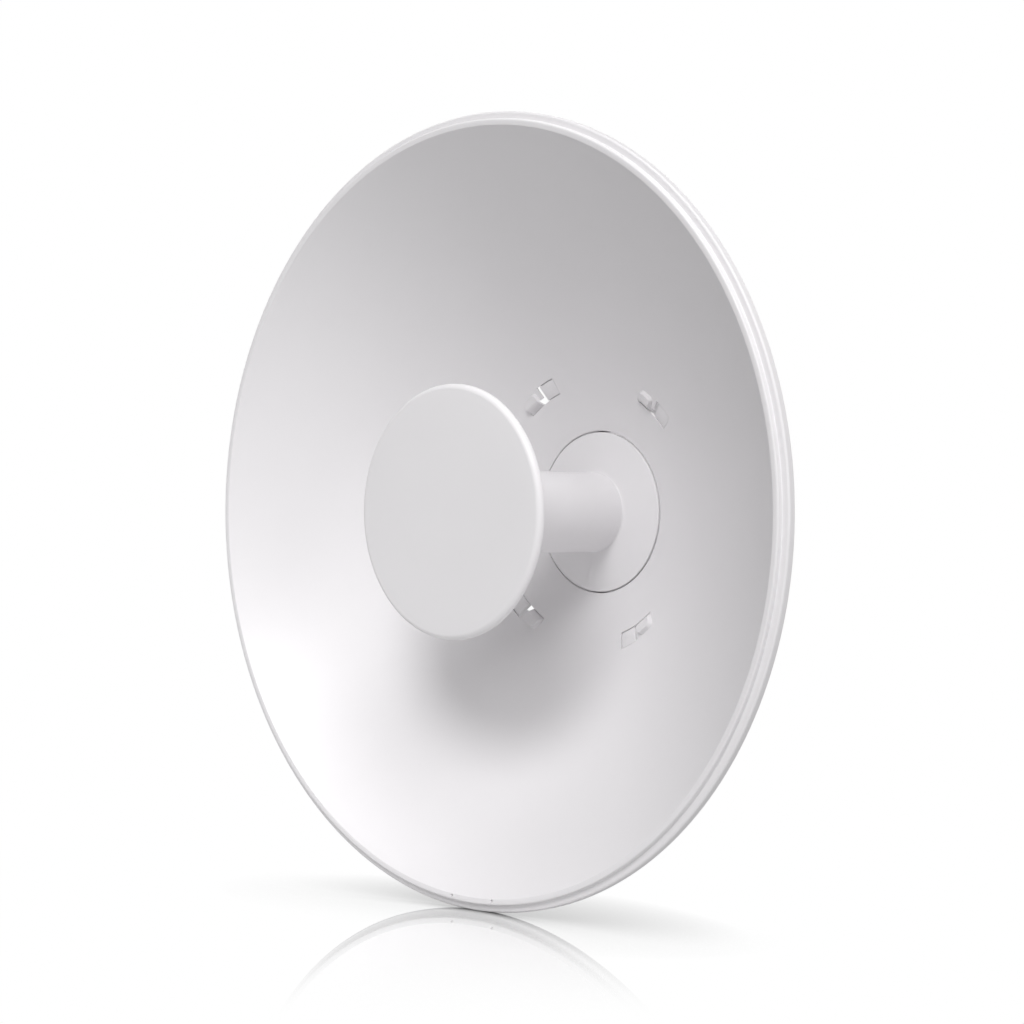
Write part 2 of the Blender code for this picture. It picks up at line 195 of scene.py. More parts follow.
def noise_of(finish, scale, detail=2.0, roughness=0.5):
    """A noise on Object coordinates; scale is in cells a metre."""
    nodes, links = finish.node_tree.nodes, finish.node_tree.links
    place = nodes.get("place") or nodes.new("ShaderNodeTexCoord")
    place.name = "place"
    noise = nodes.new("ShaderNodeTexNoise")
    noise.inputs["Scale"].default_value = scale
    noise.inputs["Detail"].default_value = detail
    noise.inputs["Roughness"].default_value = roughness
    links.new(place.outputs["Object"], noise.inputs["Vector"])
    return noise


def spread(finish, source, low, high, socket):
    """Map a noise from 0..1 to a narrow range and send it to one socket of the shader."""
    nodes, links = finish.node_tree.nodes, finish.node_tree.links
    span = nodes.new("ShaderNodeMapRange")
    span.inputs["From Min"].default_value = 0.3
    span.inputs["From Max"].default_value = 0.7
    span.inputs["To Min"].default_value = low
    span.inputs["To Max"].default_value = high
    links.new(source.outputs["Fac"], span.inputs["Value"])
    links.new(span.outputs["Result"], nodes["Principled BSDF"].inputs[socket])


def tint(finish, source, dark, light):
    """Colour between two near tones, by a noise."""
    nodes, links = finish.node_tree.nodes, finish.node_tree.links
    ramp = nodes.new("ShaderNodeValToRGB")
    ramp.color_ramp.elements[0].position = 0.3
    ramp.color_ramp.elements[0].color = dark
    ramp.color_ramp.elements[1].position = 0.7
    ramp.color_ramp.elements[1].color = light
    links.new(source.outputs["Fac"], ramp.inputs["Fac"])
    links.new(ramp.outputs["Color"], nodes["Principled BSDF"].inputs["Base Color"])


def bumped(finish, steps):
    """Chain bumps, each a noise, its strength and its height in metres."""
    nodes, links = finish.node_tree.nodes, finish.node_tree.links
    last = None
    for noise, strength, height in steps:
        bump = nodes.new("ShaderNodeBump")
        bump.inputs["Strength"].default_value = strength
        bump.inputs["Distance"].default_value = height
        links.new(noise.outputs["Fac"], bump.inputs["Height"])
        if last:
            links.new(last.outputs["Normal"], bump.inputs["Normal"])
        last = bump
    links.new(last.outputs["Normal"], nodes["Principled BSDF"].inputs["Normal"])


powder_coat = new_finish("powder_coat_white", (0.80, 0.785, 0.80, 1.0), 0.42)
peel = noise_of(powder_coat, 620.0, 1.0)
bloom = noise_of(powder_coat, 9.0, 3.0)
tint(powder_coat, bloom, (0.792, 0.777, 0.792, 1.0), (0.808, 0.793, 0.808, 1.0))
spread(powder_coat, bloom, 0.40, 0.46, "Roughness")
bumped(powder_coat, [(peel, 0.10, 0.00008)])

# %% [markdown]
# ## Moulded plastic, rubber and zinc
#
# The feed and the housing are moulded. The steel tool is etched, so the skin has a fine even grain
# and a softer gloss than the paint. The seal round the housing is dull rubber. Bolts are steel
# with bright zinc, whose thin plating clouds a little from crystal to crystal.

# %% Plastic, rubber and zinc
white_plastic = new_finish("moulded_plastic_white", (0.82, 0.805, 0.82, 1.0), 0.38)
etch = noise_of(white_plastic, 2600.0, 2.0)
flow = noise_of(white_plastic, 14.0, 2.0)
tint(white_plastic, flow, (0.812, 0.797, 0.812, 1.0), (0.828, 0.813, 0.828, 1.0))
spread(white_plastic, flow, 0.36, 0.42, "Roughness")
bumped(white_plastic, [(etch, 0.22, 0.00004)])

grey_plastic = new_finish("moulded_plastic_grey", (0.45, 0.46, 0.47, 1.0), 0.5)
grey_etch = noise_of(grey_plastic, 1900.0, 2.0)
tint(grey_plastic, noise_of(grey_plastic, 40.0), (0.43, 0.44, 0.45, 1.0), (0.47, 0.48, 0.49, 1.0))
bumped(grey_plastic, [(grey_etch, 0.3, 0.00005)])

seal_rubber = new_finish("seal_rubber", (0.035, 0.035, 0.037, 1.0), 0.7)
bumped(seal_rubber, [(noise_of(seal_rubber, 1500.0), 0.3, 0.00004)])

zinc = new_finish("zinc_plate", (0.62, 0.63, 0.64, 1.0), 0.35, 0.9)
crystals = noise_of(zinc, 420.0, 3.0)
tint(zinc, crystals, (0.56, 0.57, 0.59, 1.0), (0.68, 0.69, 0.70, 1.0))
spread(zinc, crystals, 0.28, 0.42, "Roughness")
bumped(zinc, [(noise_of(zinc, 1400.0), 0.12, 0.00003)])
print("finishes:", [m.name for m in (powder_coat, white_plastic, grey_plastic, seal_rubber, zinc)])

# %% [markdown]
# ## Reflector: the outline of the pressed sheet
#
# The rim is what keeps the thin bowl stiff: the sheet turns flat at the lip, drops in a step, runs
# out again and turns back at the very edge. The outline follows the front face outwards and the
# back face home, so the spin gives a closed sheet with its real thickness. Close rings are set
# only where the lock pockets will be pressed.

# %% Reflector outline
RIM_R = 210.0
LIP_OUT_R = 205.95
STEP_Y = 3.0
RIM_BACK_Y = 7.6
SLOT_IN_R = 69.6
SLOT_OUT_R = 78.9

pocket_rings = [0.02, 0.2, 0.5, 0.8, 1.1, 1.4, 1.7, 2.0, 2.3, 2.6, 2.9, 3.2, 3.8, 4.5, 5.1]
pocket_rings += [5.5 + 0.3 * i for i in range(6)] + [7.25 + 0.14 * i for i in range(15)]
ring_radii = [HUB_HOLE_R + 0.4, 48.0, 52.0, 56.0, 60.0, 64.0, 67.5, 69.0, 69.35]
ring_radii += [SLOT_IN_R + outward for outward in pocket_rings] + [80.4, 82.0]
ring_radii += [84.0 + (LIP_IN_R - 0.6 - 84.0) * i / 24 for i in range(25)]

front = [(HUB_HOLE_R, bowl_y(HUB_HOLE_R) + 0.4)] + [(r, bowl_y(r)) for r in ring_radii]
front += [(LIP_IN_R - 0.1, 0.12), (LIP_IN_R + 0.5, 0.0)]
front += arc((LIP_OUT_R - 1.0, 1.0), 1.0, 90, 0, 6)
front += [(LIP_OUT_R, STEP_Y - 0.5)] + arc((LIP_OUT_R + 0.5, STEP_Y - 0.5), 0.5, 180, 270, 4)[1:]
front += arc((RIM_R - 1.4, STEP_Y + 1.4), 1.4, 90, 0, 7)
front += [(RIM_R, RIM_BACK_Y - 0.3), (RIM_R - 0.3, RIM_BACK_Y)]
back = [(RIM_R - SHEET + 0.3, RIM_BACK_Y), (RIM_R - SHEET, RIM_BACK_Y - 0.3),
        (RIM_R - SHEET, STEP_Y + SHEET + 0.3), (RIM_R - SHEET - 0.3, STEP_Y + SHEET),
        (LIP_OUT_R - SHEET + 0.6, STEP_Y + SHEET), (LIP_OUT_R - SHEET, STEP_Y + SHEET - 0.6),
        (LIP_OUT_R - SHEET, SHEET + 0.3), (LIP_OUT_R - SHEET - 0.3, SHEET)]
back += [behind(r, SHEET) for r in reversed(ring_radii)] + [behind(HUB_HOLE_R, SHEET)]
print(len(front), "points on the front,", len(back), "on the back")

# %% [markdown]
# ## Reflector: spin in stretches
#
# A full spin in equal steps would need tiny steps everywhere, just to have enough faces at the
# four pockets. The outline is spun in stretches instead: long steps over the plain bowl, short
# ones over each pocket. The last ring then meets the first and their points are merged.

# %% Spin the sheet
SLOT_MOUTHS = {"lower_left": -131.0, "lower_right": -61.1, "upper_right": 49.0, "upper_left": 118.8}
POCKET_TURNS = ((-0.6, 1.8, 5), (1.8, 3.2, 14), (3.2, 4.8, 6), (4.8, 7.6, 6), (7.6, 9.2, 6),
                (9.2, 10.8, 14))
PLAIN_STEP = 1.5


def stretches():
    """Turns in degrees and their steps, starting at the first pocket."""
    mouths = sorted(SLOT_MOUTHS.values())
    pocket_start, pocket_end = POCKET_TURNS[0][0], POCKET_TURNS[-1][1]
    plan = []
    for mouth, following in zip(mouths, mouths[1:] + [mouths[0] + 360.0]):
        plan += [(end - start, steps) for start, end, steps in POCKET_TURNS]
        plain = following - mouth - (pocket_end - pocket_start)
        plan.append((plain, round(plain / PLAIN_STEP)))
    return mouths[0] + pocket_start, plan


first_angle, plan = stretches()
sheet = outline(front + back)
bmesh.ops.rotate(sheet, cent=(0, 0, 0), matrix=Matrix.Rotation(-math.radians(first_angle), 3, "Y"),
                 verts=sheet.verts[:])
ring = sheet.verts[:] + sheet.edges[:]
for turn, steps in plan:
    made = bmesh.ops.spin(sheet, geom=ring, cent=(0, 0, 0), axis=(0, -1, 0),
                          angle=math.radians(turn), steps=steps, use_merge=False)
    ring = made["geom_last"]
bmesh.ops.remove_doubles(sheet, verts=sheet.verts[:], dist=0.01)
bmesh.ops.recalc_face_normals(sheet, faces=sheet.faces[:])
print("sheet:", len(sheet.faces), "faces, open edges:", sum(e.is_boundary for e in sheet.edges))

# %% [markdown]
# ## Reflector: press the lock pockets
#
# Each pocket is drawn out of the bowl: a steep wall at the mouth, at the far end and on the outer
# side, round corners between them, and a flat top. Towards the hub it is lanced, so there the top
# comes down as a ramp whose cut edge dips a little under the bowl. A height that depends on the
# place in the pocket moves the front and the back of the sheet together.

# %% Press the pockets
POCKET_HEIGHT = 2.7
POCKET_START = 2.3
POCKET_END = 13.1
POCKET_SIDE = 8.4
MOUTH_CORNER = 2.2
FAR_CORNER = 3.6
WALL_RUN = 0.6
RAMP = 4.0
RAMP_DIP = 1.0
MIDDLE_R = (SLOT_IN_R + SLOT_OUT_R) / 2.0


def smooth(t):
    t = min(max(t, 0.0), 1.0)
    return t * t * (3.0 - 2.0 * t)


def inside_corner(a, b, radius):
    """How far a point is inside two walls that meet in a round corner, at most the radius."""
    return radius - math.hypot(max(radius - a, 0.0), max(radius - b, 0.0))


def pocket_height(along, outward):
    """Height out of the bowl, at a distance along from the mouth and outward from the slit."""
    to_side = POCKET_SIDE - outward
    inside = min(inside_corner(along - POCKET_START, to_side, MOUTH_CORNER),
                 inside_corner(POCKET_END - along, to_side, FAR_CORNER))
    if inside < 0.0 or outward < 0.0:
        return 0.0
    up_ramp = 1.0 - (1.0 - min(outward / RAMP, 1.0)) ** 1.5
    return smooth(inside / WALL_RUN) * ((POCKET_HEIGHT + RAMP_DIP) * up_ramp - RAMP_DIP)


moved = 0
for vert in sheet.verts:
    r = math.hypot(vert.co.x, vert.co.z)
    if not 66.0 < r < 86.0:
        continue
    foot, _ = foot_of(r, vert.co.y)
    angle = math.degrees(math.atan2(vert.co.z, vert.co.x))
    for mouth in SLOT_MOUTHS.values():
        along = math.radians((angle - mouth + 180.0) % 360.0 - 180.0) * MIDDLE_R
        height = pocket_height(along, foot - SLOT_IN_R)
        if height:
            tilt, turn = bowl_tilt(foot), math.radians(angle)
            out = Vector((-math.sin(tilt) * math.cos(turn), -math.cos(tilt),
                          -math.sin(tilt) * math.sin(turn)))
            vert.co += out * height
            moved += 1
print("points moved:", moved)

# %% [markdown]
# ## Reflector: cut the windows, slits and drain holes
#
# The press also punches a window beside each pocket, and a narrow slit that frees the pocket's hub
# side. A Boolean is the plain way to cut through a curved sheet and get clean walls. Its cutters
# are sectors of a thick ring, made with the same spin, and each kind is cut in one go.

# %% Cut the sheet
WINDOW_ANGLE = 9.65
SLIT = 0.1
RELIEF_LENGTH = 3.0
RELIEF_WIDTH = 0.4
NOTCH_LENGTH = 2.8
NOTCH_WIDTH = 3.2


def ring_sector(bm, r_low, r_high, start, end, steps=6):
    """Add a thick sector of the bowl to a bmesh: it reaches through the sheet and the pocket."""
    corners = [behind(r_low, -5.5), behind(r_high, -5.5), behind(r_high, 3.5), behind(r_low, 3.5)]
    face = bm.faces.new([bm.verts.new((r, y, 0.0)) for r, y in corners])
    bmesh.ops.rotate(bm, cent=(0, 0, 0), matrix=Matrix.Rotation(-math.radians(start), 3, "Y"),
                     verts=face.verts[:])
    bmesh.ops.spin(bm, geom=[face] + face.edges[:] + face.verts[:], cent=(0, 0, 0), axis=(0, -1, 0),
                   angle=math.radians(end - start), steps=steps, use_merge=False)


def degrees_along(distance):
    return math.degrees(distance / MIDDLE_R)


windows, notches, slits, reliefs, drains = (bmesh.new() for _ in range(5))
for mouth in SLOT_MOUTHS.values():
    ring_sector(windows, SLOT_IN_R, SLOT_OUT_R, mouth - WINDOW_ANGLE, mouth)
    ring_sector(notches, SLOT_IN_R - 0.02, SLOT_IN_R + NOTCH_WIDTH, mouth - 0.2,
                mouth + degrees_along(NOTCH_LENGTH))
    ring_sector(slits, SLOT_IN_R - SLIT, SLOT_IN_R + 0.05, mouth - 0.1,
                mouth + degrees_along(POCKET_END + 0.1), 12)
    ring_sector(reliefs, SLOT_IN_R - SLIT - 0.03, SLOT_IN_R + RELIEF_LENGTH,
                mouth + degrees_along(POCKET_END), mouth + degrees_along(POCKET_END + RELIEF_WIDTH), 2)
for x in (-15.0, 15.0):
    made = bmesh.ops.create_cone(drains, cap_ends=True, segments=20, radius1=0.8, radius2=0.8, depth=8.0)
    bmesh.ops.rotate(drains, cent=(0, 0, 0), matrix=Matrix.Rotation(math.radians(90), 3, "X"),
                     verts=made["verts"])
    bmesh.ops.translate(drains, vec=(x, 0.0, -203.0), verts=made["verts"])


def cut_away(mesh, cutter_bm):
    """The mesh with a cutter's volume taken out, as a new mesh."""
    bmesh.ops.recalc_face_normals(cutter_bm, faces=cutter_bm.faces[:])
    cutter_mesh = bpy.data.meshes.new("cutter")
    cutter_bm.to_mesh(cutter_mesh)
    cutter_bm.free()
    work = bpy.data.objects.new("work", mesh)
    cutter = bpy.data.objects.new("cutter", cutter_mesh)
    for obj in (work, cutter):
        bpy.context.scene.collection.objects.link(obj)
    boolean = work.modifiers.new("cut", "BOOLEAN")
    boolean.operation = "DIFFERENCE"
    boolean.solver = "MANIFOLD"
    boolean.object = cutter
    result = bpy.data.meshes.new_from_object(work.evaluated_get(bpy.context.evaluated_depsgraph_get()))
    for obj in (work, cutter):
        bpy.data.objects.remove(obj, do_unlink=True)
    return result


sheet_mesh = bpy.data.meshes.new("sheet")
sheet.to_mesh(sheet_mesh)
sheet.free()
for cutter_bm in (windows, notches, slits, reliefs, drains):
    sheet_mesh = cut_away(sheet_mesh, cutter_bm)
pressed = bmesh.new()
pressed.from_mesh(sheet_mesh)
bmesh.ops.scale(pressed, vec=(MM, MM, MM), verts=pressed.verts[:])
bmesh.ops.translate(pressed, vec=(0.0, -MAST_FACE_Y * MM, 0.0), verts=pressed.verts[:])
print("open edges after the cuts:", sum(not e.is_manifold for e in pressed.edges))
finished("reflector_sheet", pressed, powder_coat, ("reflector",), to_frame=False)

# %% [markdown]
# ## Feed stem
#
# The disc in the hub hole and the tube are one moulding on the real antenna, with a small fillet
# where they meet that catches a thin line of light. One outline, turned once, gives the slightly
# coned disc, the fillet and the tube without a seam.

# %% Feed stem
BASE_R = 44.1
BASE_EDGE_Y = 98.2
BASE_NECK_Y = 93.8
TUBE_R = 22.0
CAP_BACK_Y = -12.6
HOUSING_FRONT_Y = 101.2

stem = [(0.0, CAP_BACK_Y + 0.3), (TUBE_R - 0.2, CAP_BACK_Y + 0.3), (TUBE_R, CAP_BACK_Y + 0.5)]
stem += [(TUBE_R, CAP_BACK_Y + (BASE_NECK_Y - CAP_BACK_Y) * t) for t in (0.25, 0.5, 0.75)]
stem += arc((TUBE_R + 1.2, BASE_NECK_Y - 1.2), 1.2, 180, 262, 6)
stem += [(TUBE_R + (BASE_R - TUBE_R) * t, BASE_NECK_Y + (BASE_EDGE_Y - BASE_NECK_Y) * t ** 1.3)
         for t in (0.2, 0.35, 0.5, 0.65, 0.8, 0.95)]
stem += arc((BASE_R - 0.5, BASE_EDGE_Y + 0.35), 0.5, 75, 0, 4)
stem += [(BASE_R, HOUSING_FRONT_Y - 0.5), (BASE_R - 0.2, HOUSING_FRONT_Y - 0.3), (0.0, HOUSING_FRONT_Y - 0.3)]
finished("feed_stem", turned(stem, 128, closed=False), white_plastic,
         ("feed_base", "feed_tube"))

# %% [markdown]
# ## Feed cap
#
# The round cap hides the small reflector that throws the waves back into the bowl. Its front edge
# is well rounded, so it carries the brightest highlight in the picture, and its back lid is a hair
# smaller, which leaves a fine shadow line round the rear.

# %% Feed cap
CAP_R = 66.9
CAP_FRONT_Y = -17.6
CAP_SEAM_Y = -13.9
CAP_EDGE_ROUND = 3.0

cap = [(0.0, CAP_FRONT_Y), (20.0, CAP_FRONT_Y), (45.0, CAP_FRONT_Y)]
cap += arc((CAP_R - CAP_EDGE_ROUND, CAP_FRONT_Y + CAP_EDGE_ROUND), CAP_EDGE_ROUND, 90, 0, 12)
cap += [(CAP_R, CAP_SEAM_Y - 0.2), (CAP_R - 0.2, CAP_SEAM_Y), (0.0, CAP_SEAM_Y)]
finished("feed_cap_front", turned(cap, 160, closed=False), white_plastic, ("feed_cap",))

lid_r = CAP_R - 0.9
lid = [(0.0, CAP_SEAM_Y + 0.3), (lid_r, CAP_SEAM_Y + 0.3)]
lid += arc((lid_r - 0.6, CAP_BACK_Y - 0.6), 0.6, 0, -90, 4)
lid += [(0.0, CAP_BACK_Y)]
finished("feed_cap_lid", turned(lid, 160, closed=False), white_plastic, ("feed_cap_back",))

# %% [markdown]
# ## Radio housing
#
# Behind the bowl the electronics sit in a round tub with a screwed cover. The picture doesn't show
# it, so it has only what any such housing needs: shallow ribs that stiffen the wall and shed heat,
# a seal line, four screws in sunk seats, and a hatch over the cable port.

# %% Housing tub
HOUSING_R = 44.3
HOUSING_BACK_Y = 131.0
COVER_BACK_Y = 136.5

tub = [(0.0, HOUSING_FRONT_Y), (HOUSING_R - 0.3, HOUSING_FRONT_Y), (HOUSING_R, HOUSING_FRONT_Y + 0.3)]
for y in (106.0, 110.0, 114.0, 118.0, 122.0):
    tub += [(HOUSING_R, y - 0.7), (HOUSING_R - 0.8, y - 0.4), (HOUSING_R - 0.8, y + 0.4), (HOUSING_R, y + 0.7)]
tub += [(HOUSING_R, HOUSING_BACK_Y - 0.4), (HOUSING_R - 0.4, HOUSING_BACK_Y), (0.0, HOUSING_BACK_Y)]
finished("housing_tub", turned(tub, 128, closed=False), white_plastic, ("radio_housing",))

gasket_r = HOUSING_R - 1.0
gasket = [(gasket_r - 3.0, HOUSING_BACK_Y + 0.02), (gasket_r, HOUSING_BACK_Y + 0.02),
          (gasket_r, HOUSING_BACK_Y + 0.28), (gasket_r - 3.0, HOUSING_BACK_Y + 0.28)]
finished("cover_gasket", turned(gasket, 128), seal_rubber)

# %% Housing cover
cover_r = HOUSING_R - 0.6
seat_y = COVER_BACK_Y - 1.2
cover = [(0.0, HOUSING_BACK_Y + 0.3), (cover_r, HOUSING_BACK_Y + 0.3)]
cover += arc((cover_r - 2.5, COVER_BACK_Y - 2.5), 2.5, 0, -90, 8)
cover += [(30.0, COVER_BACK_Y), (0.0, COVER_BACK_Y)]
cover_bm = turned(cover, 128, closed=False)
cover_mesh = bpy.data.meshes.new("cover")
cover_bm.to_mesh(cover_mesh)
cover_bm.free()
seats = bmesh.new()
screw_places = [(33.0 * math.cos(math.radians(a)), 33.0 * math.sin(math.radians(a)))
                for a in (20, 160, 215, 325)]
for x, z in screw_places:
    made = bmesh.ops.create_cone(seats, cap_ends=True, segments=40, radius1=4.2, radius2=4.2,
                                 depth=2.0 * (COVER_BACK_Y - seat_y))
    bmesh.ops.rotate(seats, cent=(0, 0, 0), matrix=Matrix.Rotation(math.radians(90), 3, "X"),
                     verts=made["verts"])
    bmesh.ops.translate(seats, vec=(x, COVER_BACK_Y, z), verts=made["verts"])
cover_mesh = cut_away(cover_mesh, seats)
seated = bmesh.new()
seated.from_mesh(cover_mesh)
finished("housing_lid", seated, white_plastic, ("housing_cover",))

# %% [markdown]
# The screws are small pan heads with a cross. A head is a lathe shape, and the cross is two thin
# bars cut out of it.

# %% Cover screws
def screw_head(x, z):
    head = [(0.0, seat_y + 0.02), (3.1, seat_y + 0.02), (3.1, seat_y + 0.5)]
    head += arc((1.9, seat_y - 0.1), 1.6, -30, -80, 5) + [(0.0, seat_y + 1.5)]
    bm = turned(head, 32, closed=False)
    mesh = bpy.data.meshes.new("screw")
    bm.to_mesh(mesh)
    bm.free()
    cross = bmesh.new()
    for size in ((3.2, 1.6, 0.6), (0.6, 1.6, 3.2)):
        made = bmesh.ops.create_cube(cross, size=1.0)
        bmesh.ops.scale(cross, vec=size, verts=made["verts"])
        bmesh.ops.translate(cross, vec=(0.0, seat_y + 1.5, 0.0), verts=made["verts"])
    mesh = cut_away(mesh, cross)
    cut = bmesh.new()
    cut.from_mesh(mesh)
    bmesh.ops.translate(cut, vec=(x, 0.0, z), verts=cut.verts[:])
    return cut


for index, (x, z) in enumerate(screw_places):
    finished("cover_screw_%d" % (index + 1), screw_head(x, z), zinc)

# %% [markdown]
# ## Softened copies
#
# The bracket's plates and the hatch already have their right shapes in the CAD model, but its
# edges are perfectly sharp, and no painted edge is. A copy of each node is merged back into whole
# faces, and a small bevel rounds its edges, so they catch the light as rolled steel does.

# %% Softened copies
def softened(node, name, width, finish, segments=3):
    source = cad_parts[node]
    bm = bmesh.new()
    bm.from_mesh(source.data)
    bmesh.ops.remove_doubles(bm, verts=bm.verts[:], dist=0.00001)
    bmesh.ops.dissolve_limit(bm, angle_limit=math.radians(1.0), verts=bm.verts[:], edges=bm.edges[:])
    sharp = [e for e in bm.edges if e.is_manifold and e.calc_face_angle(0.0) > math.radians(40.0)]
    bmesh.ops.bevel(bm, geom=sharp, offset=width * MM, offset_type="OFFSET", segments=segments,
                    profile=0.5, affect="EDGES", material=-1, clamp_overlap=True)
    return finished(name, bm, finish, (node,), to_frame=False)


for side in ("left", "right"):
    softened("tilt_ear_" + side, "ear_plate_" + side, 0.6, powder_coat)
    softened("mast_cheek_" + side, "cheek_plate_" + side, 0.5, powder_coat)
softened("mast_plate", "mast_foot", 0.6, powder_coat)
softened("port_hatch", "hatch_door", 0.5, grey_plastic)
for corner in SLOT_MOUTHS:
    softened("lock_arm_" + corner, "arm_plate_" + corner, 0.25, powder_coat, 2)

# %% [markdown]
# ## Lock ring
#
# The ring turns by hand to lock the bowl, so its outside has shallow grip ribs, and a flange in
# front that carries the arms. It is a turned shape with rounded edges. Three of every six rows of
# points are drawn in a little, all the way round, to leave ribs between them.

# %% Lock ring
RING_IN_R = 46.0
RING_OUT_R = 60.0
RING_FRONT_Y = 107.0
RING_BACK_Y = 139.0
FLANGE_R = 70.0
FLANGE_BACK_Y = 112.0
GRIP_START = 117.0

hoop = [(RING_IN_R, RING_FRONT_Y + 0.6), (RING_IN_R + 0.6, RING_FRONT_Y)]
hoop += arc((FLANGE_R - 0.8, RING_FRONT_Y + 0.8), 0.8, 90, 0, 4)
hoop += arc((FLANGE_R - 0.8, FLANGE_BACK_Y - 0.8), 0.8, 0, -90, 4)
hoop += [(RING_OUT_R + 1.0, FLANGE_BACK_Y), (RING_OUT_R, FLANGE_BACK_Y + 1.0),
        (RING_OUT_R, GRIP_START - 1.0), (RING_OUT_R, GRIP_START + 0.5),
        (RING_OUT_R, RING_BACK_Y - 4.0), (RING_OUT_R, RING_BACK_Y - 2.5),
        (RING_OUT_R, RING_BACK_Y - 1.0), (RING_OUT_R - 1.0, RING_BACK_Y),
        (RING_IN_R + 0.6, RING_BACK_Y), (RING_IN_R, RING_BACK_Y - 0.6)]
hoop_bm = turned(hoop, 216)
for vert in hoop_bm.verts:
    angle = round(math.degrees(math.atan2(vert.co.z, vert.co.x)) / (360.0 / 216)) % 6
    on_grip = GRIP_START < vert.co.y < RING_BACK_Y - 3.0
    if on_grip and math.hypot(vert.co.x, vert.co.z) > RING_OUT_R - 0.1 and angle in (1, 2, 3):
        vert.co.x *= 1.0 - 0.9 / RING_OUT_R
        vert.co.z *= 1.0 - 0.9 / RING_OUT_R
finished("lock_hoop", hoop_bm, powder_coat, ("lock_ring",), sharp_degrees=24.0)

# %% [markdown]
# ## Bolts, nuts and washers
#
# Two bolts clamp the tilt. A real bolt head is a hexagon whose corners are turned off by a shallow
# cone, and the thread shows where it leaves the nut. The head is cut from a cone-ended disc and a
# hexagon, and the thread is a zigzag outline turned about the bolt's axis.

# %% Bolt parts
PIVOT_Y = 172.0
BOLT_HEIGHTS = {"pivot": 16.0, "lock": -16.0}
EAR_OUTSIDE = 40.3
BOLT_R = 4.0
HEX_R = 7.5
WASHER_R = 9.0


def lathe_on_x(points, steps=48):
    """Turn an outline of (radius, x) points about the X axis, at the bolt's height zero."""
    bm = bmesh.new()
    verts = [bm.verts.new((x, r, 0.0)) for r, x in points]
    edges = [bm.edges.new(pair) for pair in zip(verts, verts[1:])]
    bmesh.ops.spin(bm, geom=verts + edges, cent=(0, 0, 0), axis=(1, 0, 0), angle=math.tau,
                   steps=steps, use_merge=True)
    bmesh.ops.remove_doubles(bm, verts=bm.verts[:], dist=0.0005)
    return bm


def hexagon(x_low, x_high, bore=0.0):
    """A chamfered hexagon along X: a prism, its corners turned off by a cone, and maybe a bore."""
    bm = bmesh.new()
    bmesh.ops.create_cone(bm, cap_ends=True, segments=6, radius1=HEX_R, radius2=HEX_R,
                          depth=x_high - x_low)
    bmesh.ops.rotate(bm, cent=(0, 0, 0), matrix=Matrix.Rotation(math.radians(90), 3, "Y"),
                     verts=bm.verts[:])
    bmesh.ops.translate(bm, vec=((x_low + x_high) / 2.0, 0.0, 0.0), verts=bm.verts[:])
    mesh = bpy.data.meshes.new("hexagon")
    bm.to_mesh(mesh)
    bm.free()
    across = HEX_R * math.cos(math.radians(30))
    rest = [(across - 0.3, x_low - 2.0), (HEX_R + 4.0, x_low - 2.0), (HEX_R + 4.0, x_low + 2.6),
            (across - 0.3, x_low)]
    for mirrored in (False, True):
        ring_points = [(r, x_low + x_high - x) if mirrored else (r, x) for r, x in rest]
        mesh = cut_away(mesh, lathe_on_x(ring_points + [ring_points[0]], 64))
    if bore:
        mesh = cut_away(mesh, lathe_on_x([(0.0, x_low - 2.0), (bore, x_low - 2.0), (bore, x_high + 2.0),
                                          (0.0, x_high + 2.0)], 32))
    cut = bmesh.new()
    cut.from_mesh(mesh)
    bpy.data.meshes.remove(mesh)
    return cut


def placed_bolt_part(name, bm, height, instead_of):
    bmesh.ops.translate(bm, vec=(0.0, PIVOT_Y, height), verts=bm.verts[:])
    return finished(name, bm, zinc, instead_of)


# %% Set the bolts
head_start = -(EAR_OUTSIDE + 1.9)
nut_start = EAR_OUTSIDE + 1.9
shank_end = EAR_OUTSIDE + 12.0
pitch = 1.25

for label, height in BOLT_HEIGHTS.items():
    shank = [(0.0, head_start - 0.1), (BOLT_R - 0.15, head_start - 0.1), (BOLT_R - 0.15, nut_start - 6.0)]
    turns = int((shank_end - 0.8 - shank[-1][1]) / pitch)
    for turn_index in range(turns):
        x = nut_start - 6.0 + turn_index * pitch
        shank += [(BOLT_R - 0.75, x + 0.25), (BOLT_R - 0.1, x + 0.75), (BOLT_R - 0.1, x + 0.95)]
    shank += [(BOLT_R - 1.0, shank_end), (0.0, shank_end)]
    bolt = lathe_on_x(shank, 36)
    placed_bolt_part(label + "_bolt_shank", bolt, height, (label + "_bolt",))
    placed_bolt_part(label + "_bolt_hex", hexagon(head_start - 5.5, head_start - 0.12), height, ())
    placed_bolt_part(label + "_nut_hex", hexagon(nut_start, nut_start + 6.5, BOLT_R + 0.05), height,
                     (label + "_nut",))
    for side, sign in (("left", -1), ("right", 1)):
        inner, outer = sign * EAR_OUTSIDE, sign * (EAR_OUTSIDE + 1.6)
        lip = sign * 0.3
        washer = [(BOLT_R + 0.3, inner), (WASHER_R - 0.3, inner), (WASHER_R, inner + lip),
                  (WASHER_R, outer - lip), (WASHER_R - 0.3, outer), (BOLT_R + 0.3, outer),
                  (BOLT_R + 0.3, inner)]
        placed_bolt_part(label + "_washer_disc_" + side, lathe_on_x(washer), height,
                         (label + "_washer_" + side,))

# %% [markdown]
# ## Floor
#
# The antenna stands on its rim on a white, slightly glossy sweep. The gloss only shows near the
# foot and fades towards the camera, as on a lit table, so two masks on the floor's own coordinates
# mix a mirror into the matt white: one fades it forwards, the other ends it all round.

